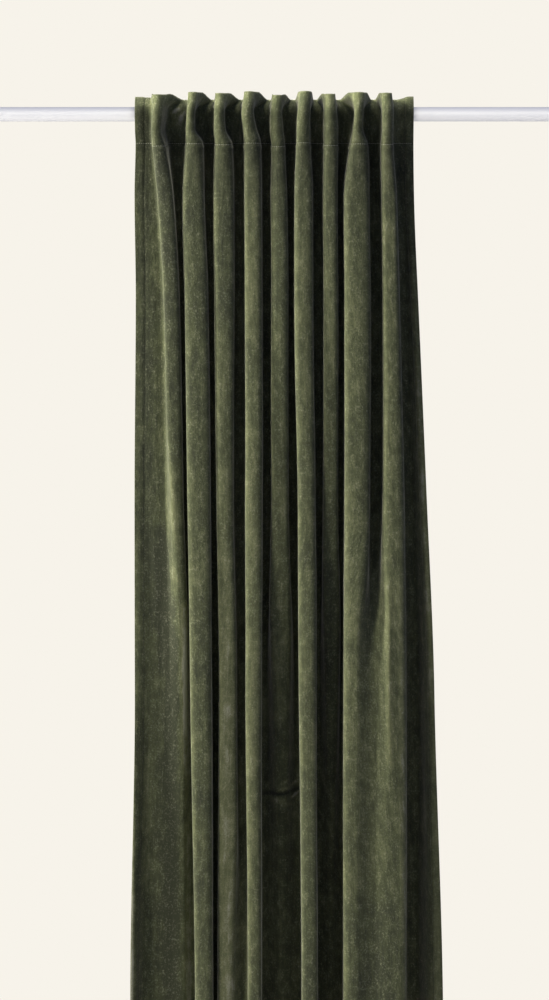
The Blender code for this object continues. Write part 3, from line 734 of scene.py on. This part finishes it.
clothRows = spaced(*rowSteps)
middle, outward, across, down = drape(clothRows)
fromRight = across - curtain["width"] + curtain["sideHem"]
belowSeam = down - curtain["heading"]
hemmed = np.maximum(ease((down - (curtain["length"] - curtain["bottomHem"])) / seam["hemEdge"]),
                    np.maximum(ease((curtain["sideHem"] - across) / seam["hemEdge"]),
                               ease(fromRight / seam["hemEdge"])))
hemmed = hemmed * ease(belowSeam / seam["hemEdge"])
seamPull = seam["pull"] * np.exp(-(belowSeam / seam["half"]) ** 2)
seamPull -= seam["puff"] * np.exp(-((belowSeam - seam["puffBelow"]) / seam["puffHalf"]) ** 2)
sidePull = seam["sidePull"] * (np.exp(-((across - curtain["sideHem"]) / seam["half"]) ** 2)
                               + np.exp(-(fromRight / seam["half"]) ** 2))
faceAway = curtain["thickness"] / 2 - seamPull - sidePull
backAway = curtain["thickness"] / 2 + hemmed * (curtain["hemThickness"] - curtain["thickness"])
clothFront = middle + outward * faceAway[:, :, None]
clothBack = middle - outward * backAway[:, :, None]
# the painted light and shade marks at each point of the cloth
napAndPaintedLight = marksAt(napAndLightMarks, "push", middle[:, :, 0], down) * np.clip(-outward[:, :, 1] * paintedMarkFacing, 0, 1)
panelMesh, panelPlace = laidGrid(clothFront, across, down, napAndPaintedLight)
uvLayer = panelMesh.loops.layers.uv["cloth"]


def backMaterial(face):
    u = sum(loop[uvLayer].uv.x for loop in face.loops) / len(face.loops) / mm
    v = sum(loop[uvLayer].uv.y for loop in face.loops) / len(face.loops) / mm
    turned = u < curtain["sideHem"] or u > curtain["width"] - curtain["sideHem"] or v < curtain["bottomHem"]
    return 0 if turned else 1


thicken(panelMesh, panelPlace, clothBack, backMaterial)
panel = addPiece("velvet_panel", panelMesh, [velvetFace, wovenBack], ["curtain_panel"])
print("panel hung")

# The heading tape
tapeEnd = curtain["heading"] - tape["aboveSeam"]
tapeRows = spaced((tape["margin"], tape["margin"]), (tapeEnd, tape["rowStep"]))[1:]
tapeMiddle, tapeOut, tapeAcross, tapeDown = drape(tapeRows)
tapeFace = curtain["thickness"] / 2 + tape["gap"]
tapeMesh, tapePlace = laidGrid(tapeMiddle - tapeOut * tapeFace, tapeAcross, tapeDown)
tapeBack = tapeMiddle - tapeOut * (tapeFace + tape["thickness"])
thicken(tapeMesh, tapePlace, tapeBack, lambda face: 0)
tapePiece = addPiece("woven_heading_tape", tapeMesh, [webbing], ["heading_tape"])


# The tabs: one behind each valley, sewn to the tape at both ends and round the back of the rod
def behindValley(drop, away):
    # a point this far behind the middle of a valley's cloth, in side view
    spots = []
    for level in (drop - 1, drop, drop + 1):
        back, up = aroundRod(level)
        spots.append(np.array([back - valleyRadius, rodLevel - level + up]))
    rise = (spots[0] - spots[2]) / np.linalg.norm(spots[0] - spots[2])
    return spots[1] + away * np.array([rise[1], -rise[0]])


def tabLine():
    away = curtain["thickness"] / 2 + 2 * tape["gap"] + tape["thickness"]
    around = rod["diameter"] / 2 + rod["clearance"] - tab["thickness"] / 2
    guide = [behindValley(tab["foot"], away), behindValley(tab["foot"] - tab["footLength"], away)]
    for angle in map(math.radians, tab["behindRod"]):
        guide.append((around * math.cos(angle), around * math.sin(angle)))
    guide = np.array(guide + [behindValley(tab["head"], away)])
    along = np.r_[0, np.cumsum(np.linalg.norm(np.diff(guide, axis=0), axis=1))]
    slopes = np.gradient(guide, along, axis=0)
    slopes[0] = slopes[1] = (guide[1] - guide[0]) / along[1]
    line = []
    for place in np.linspace(0, along[-1], tab["steps"] + 1):
        i = min(int(np.searchsorted(along, place, side="right")) - 1, len(along) - 2)
        span = along[i + 1] - along[i]
        t = (place - along[i]) / span
        line.append((1 + 2 * t) * (1 - t) ** 2 * guide[i] + t * (1 - t) ** 2 * span * slopes[i]
                    + t * t * (3 - 2 * t) * guide[i + 1] + t * t * (t - 1) * span * slopes[i + 1])
    return np.array(line)


sideView = tabLine()
tabLength = np.r_[0, np.cumsum(np.linalg.norm(np.diff(sideView, axis=0), axis=1))]
tabAcross, tabDown = np.meshgrid(np.linspace(0, tab["width"], tab["columns"]), tabLength)
tabBack, tabUp = (np.repeat(sideView[:, axis:axis + 1], tab["columns"], axis=1) for axis in (0, 1))
for number, middleX in enumerate(foldsAt(rodLevel)[1][0], start=1):
    front = np.stack([middleX - tab["width"] / 2 + tabAcross, tabBack, tabUp], axis=2)
    away = np.cross(np.gradient(front, axis=0), np.gradient(front, axis=1))
    away /= np.linalg.norm(away, axis=2, keepdims=True)
    tabMesh, tabPlace = laidGrid(front[::-1], tabAcross, tabDown)
    thicken(tabMesh, tabPlace, (front + away * tab["thickness"])[::-1], lambda face: 0)
    addPiece(f"sewn_back_tab_{number:02d}", tabMesh, [webbing], [f"back_tab_{number:02d}"])

# The sewing: rows of small stitches, each a short spindle of thread lying on the cloth
stitch = {"length": 3.0, "gap": 1.3, "hemGap": 6.0, "radius": 0.5, "endSize": 0.45, "sides": 5,
          "lift": 0.15, "arch": 0.2, "frontInset": 2.0, "tapeInset": 3.0, "hemInset": 6.0}


def spot(points, acrossAt, rows, a, d):
    # where a place on the flat cloth, a across and d down, lies in these hung points
    r = int(np.clip(np.searchsorted(rows, d, side="right") - 1, 0, len(rows) - 2))
    share = (d - rows[r]) / (rows[r + 1] - rows[r])
    above, below = (np.array([np.interp(a, acrossAt[k], points[k, :, axis]) for axis in range(3)])
                    for k in (r, r + 1))
    return above * (1 - share) + below * share


def addStitch(mesh, start, end, out):
    run = end - start
    sideways = np.cross(run, out)
    sideways /= np.linalg.norm(sideways)
    sides = stitch["sides"]
    rings = []
    for t, size in ((0.0, stitch["endSize"]), (0.5, 1.0), (1.0, stitch["endSize"])):
        centre = start + run * t + out * (stitch["lift"] + stitch["arch"] * size)
        ring = []
        for turn in np.arange(sides) * math.tau / sides:
            away = sideways * math.cos(turn) + out * math.sin(turn)
            ring.append(mesh.verts.new((centre + stitch["radius"] * size * away) * mm))
        rings.append(ring)
    for first, second in zip(rings, rings[1:]):
        for k in range(sides):
            mesh.faces.new((first[k], first[(k + 1) % sides], second[(k + 1) % sides], second[k]))
    mesh.faces.new(rings[0][::-1])
    mesh.faces.new(rings[-1])


def sewRow(mesh, layer, start, end, gap):
    # a row of stitches between two places on the flat cloth, given as (across, down)
    points, out, acrossAt, rows = layer
    length = stitch["length"]
    start, end = np.array(start, float), np.array(end, float)
    count = int(np.linalg.norm(end - start) / (length + gap))
    step = (end - start) / count
    for k in range(count):
        first = start + step * k
        last = first + step * length / (length + gap)
        a, b = spot(points, acrossAt, rows, *first), spot(points, acrossAt, rows, *last)
        addStitch(mesh, a, b, spot(out, acrossAt, rows, *((first + last) / 2)))


sewing = bmesh.new()
long, wide, hem = curtain["length"], curtain["width"], curtain["sideHem"]
hemLine = long - curtain["bottomHem"]
frontInset, tapeInset, hemInset = stitch["frontInset"], stitch["tapeInset"], stitch["hemInset"]
frontLayer = (clothFront, outward, across, clothRows)
backLayer = (clothBack, -outward, across, clothRows)    # the hems are blind stitched from behind
tapeLayer = (tapeBack, -tapeOut, tapeAcross, tapeRows)
seamLine = curtain["heading"]
sewRow(sewing, frontLayer, (frontInset, seamLine), (wide - frontInset, seamLine), stitch["gap"])
sewRow(sewing, backLayer, (hem, hemLine), (wide - hem, hemLine), stitch["hemGap"])
for sideAt in (hem, wide - hem):
    sewRow(sewing, backLayer, (sideAt, hemInset), (sideAt, long - hemInset), stitch["hemGap"])
for edge in (tape["margin"] + tapeInset, tapeEnd - tapeInset):
    sewRow(sewing, tapeLayer, (tapeInset, edge), (wide - tapeInset, edge), stitch["gap"])
for face in sewing.faces:
    face.smooth = len(face.verts) == 4
bmesh.ops.recalc_face_normals(sewing, faces=sewing.faces)
addPiece("sewing_thread", sewing, [thread])
print("tabs and sewing made")

# The rod
rodMesh = bmesh.new()
rodRadius = rod["diameter"] / 2 * mm
bmesh.ops.create_cone(rodMesh, cap_ends=True, segments=rod["sides"], radius1=rodRadius, radius2=rodRadius,
                      depth=rod["length"] * mm)
rims = [edge for edge in rodMesh.edges if abs(edge.verts[0].co.z - edge.verts[1].co.z) < 1e-6]
bmesh.ops.bevel(rodMesh, geom=rims, offset=rod["edge"] * mm, segments=rod["edgeFaces"], profile=0.5,
                affect="EDGES", material=-1)
bmesh.ops.rotate(rodMesh, verts=rodMesh.verts, matrix=Matrix.Rotation(math.pi / 2, 3, "Y"))
for face in rodMesh.faces:
    face.smooth = len(face.verts) == 4
rodPiece = addPiece("enamelled_rod", rodMesh, [enamel], ["rod"])
print("rod made")

# The stage: a pale floor below the hem, a cream room, and softboxes that are strongest from the left
stage = {"floorDrop": 2480.0, "floorSize": 6600.0, "floor": (0.64, 0.62, 0.585), "floorRoughness": 0.8,
         "cream": (0.930, 0.896, 0.823), "front": (0.165, 0.195, 0.410), "behind": (0.62, 0.60, 0.57),
         "frontEnds": 0.35, "behindStarts": 0.85}
floorMesh = bmesh.new()
bmesh.ops.create_grid(floorMesh, x_segments=1, y_segments=1, size=stage["floorSize"] / 2 * mm)
bmesh.ops.translate(floorMesh, verts=floorMesh.verts, vec=(0, 0, -stage["floorDrop"] * mm))
floorData = bpy.data.meshes.new("floor")
floorMesh.to_mesh(floorData)
floorMesh.free()
floor = bpy.data.objects.new("floor", floorData)
scene.collection.objects.link(floor)
floorData.materials.append(startMaterial("pale_floor", stage["floorRoughness"], stage["floor"])[0])

# The room looks cream all round. It gives little light, cool from the front and warmer from the wall behind
world = bpy.data.worlds.new("cream_room")
world.use_nodes = True
roomTree = world.node_tree
towards = roomTree.nodes.new("ShaderNodeTexCoord")
split = roomTree.nodes.new("ShaderNodeSeparateXYZ")
spread = roomTree.nodes.new("ShaderNodeMapRange")
spread.inputs["From Min"].default_value = stage["frontEnds"]
spread.inputs["From Max"].default_value = stage["behindStarts"]
roomTree.links.new(towards.outputs["Generated"], split.inputs["Vector"])
roomTree.links.new(split.outputs["Y"], spread.inputs["Value"])
given = ramp(roomTree, spread.outputs["Result"], [(0.0, stage["front"]), (1.0, stage["behind"])])
seen = roomTree.nodes.new("ShaderNodeLightPath").outputs["Is Camera Ray"]
room = mixColour(roomTree, given, stage["cream"], seen)
roomTree.links.new(room, roomTree.nodes["Background"].inputs["Color"])
scene.world = world
scene.view_settings.view_transform = "Standard"

# The rod is lit from the front by a softbox of its own, and the others are kept off it
clothLit, rodLit = (bpy.data.collections.new(name) for name in ("cloth_lit", "rod_lit"))
for piece in scene.collection.all_objects:
    if piece.type == "MESH":
        (rodLit if piece == rodPiece else clothLit).objects.link(piece)

softboxes = {    # places and sizes in metres, power in watts
    "key": {"at": (-4.7, -2.9, 3.2), "aim": (0, 0, -0.7), "size": (1.2, 2.0), "power": 580,
            "colour": (1.0, 0.97, 0.90), "lights": clothLit},
    "side": {"at": (-6.0, -0.95, 0.9), "aim": (0, -0.05, -0.75), "size": (0.5, 3.4), "power": 1100,
             "colour": (1.0, 0.98, 0.92), "lights": clothLit},
    "top": {"at": (-0.25, -0.35, 2.2), "aim": (0, 0, 0), "size": (0.5, 0.5), "power": 30,
            "colour": (1.0, 0.97, 0.90), "lights": clothLit},
    "rod front": {"at": (0, -4.0, 1.0), "aim": (0, 0, 0), "size": (5.0, 4.5), "power": 225,
                  "colour": (1.0, 0.95, 0.80), "lights": rodLit},
}
for name, box in softboxes.items():
    light = bpy.data.lights.new(name, "AREA")
    light.shape = "RECTANGLE"
    light.size, light.size_y = box["size"]
    light.energy = box["power"]
    light.color = box["colour"]
    holder = bpy.data.objects.new(name, light)
    holder.location = box["at"]
    holder.rotation_euler = (Vector(box["aim"]) - Vector(box["at"])).to_track_quat("-Z", "Y").to_euler()
    holder.visible_camera = False
    holder.light_linking.receiver_collection = box["lights"]
    scene.collection.objects.link(holder)
print("stage set")

# The camera stands level, 6 m in front of the rod. Its lens and sensor are in millimetres
camera = {"distance": 6.0, "below": 0.754, "lens": 110.5, "sensor": 36.0}
lens = bpy.data.cameras.new("camera")
lens.sensor_width = camera["sensor"]
lens.lens = camera["lens"]
cameraHolder = bpy.data.objects.new("camera", lens)
cameraHolder.location = (0, -camera["distance"], -camera["below"])
cameraHolder.rotation_euler = (math.pi / 2, 0, 0)
scene.collection.objects.link(cameraHolder)
scene.camera = cameraHolder
